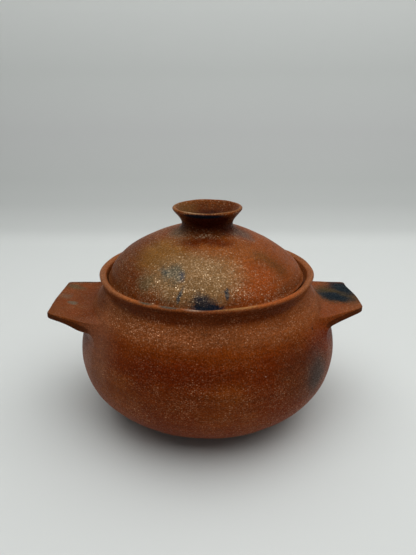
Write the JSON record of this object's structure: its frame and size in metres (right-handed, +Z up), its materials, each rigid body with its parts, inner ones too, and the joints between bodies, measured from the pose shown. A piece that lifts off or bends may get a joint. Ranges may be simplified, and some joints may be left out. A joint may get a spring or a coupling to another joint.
{
  "type": "bean pot",
  "caption": "Round-bellied clay bean pot for slow cooking, with flat lug handles and a domed lid with a cupped knob that rests on a ledge inside the rim.",
  "frame": {"origin": "centre of the base, on the surface that the pot stands on", "axes": "+X from the pot's axis towards the right handle, -Y to the front, +Z up"},
  "size_m": [0.2718, 0.232, 0.1876],
  "materials": {
    "pot_clay": "unglazed micaceous clay, burnished, with fine glittering flecks and a few dark fire clouds",
    "lid_clay": "unglazed micaceous clay, burnished, golden at the front, with fine flecks and blue-black fire clouds"
  },
  "bodies": {
    "root": {"pot": "pot_clay", "lid": "lid_clay"}
  },
  "joints": []
}
